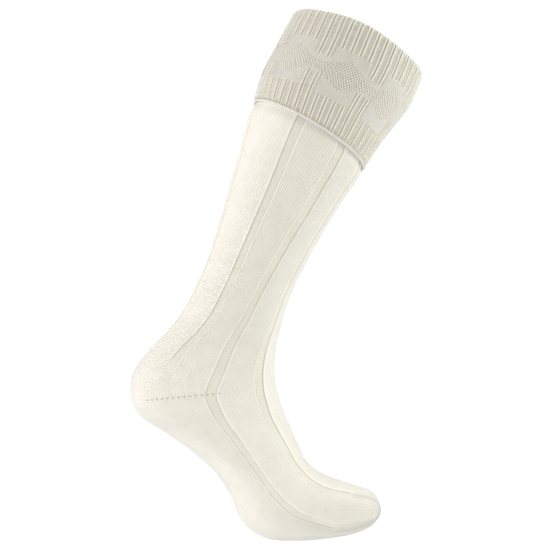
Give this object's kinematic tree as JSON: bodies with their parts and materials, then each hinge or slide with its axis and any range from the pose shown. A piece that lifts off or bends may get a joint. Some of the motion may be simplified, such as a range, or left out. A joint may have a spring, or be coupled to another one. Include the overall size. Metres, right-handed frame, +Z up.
{
  "type": "kilt hose sock",
  "caption": "Knee-length ribbed wool sock in cream, worn form on tiptoe, with a deep turned-over cuff knitted in diamonds.",
  "frame": {"origin": "middle of the mouth, level with the top of the rolled fold, where the leg holds the sock up", "axes": "+Z up along the picture's upright, +X the way the toes point, +Y to the side; the sock is the same on both sides of the XZ plane"},
  "size_m": [0.2603, 0.1237, 0.4731],
  "materials": {
    "cuff_wool": "knitted wool in ribs and seed stitch",
    "leg_wool": "knitted wool in wide plain panels and narrow ribs",
    "foot_wool": "plain knitted wool"
  },
  "bodies": {
    "root": {"turnover_cuff": "cuff_wool", "leg": "leg_wool", "heel": "foot_wool", "foot": "foot_wool", "toe": "foot_wool"}
  },
  "joints": []
}
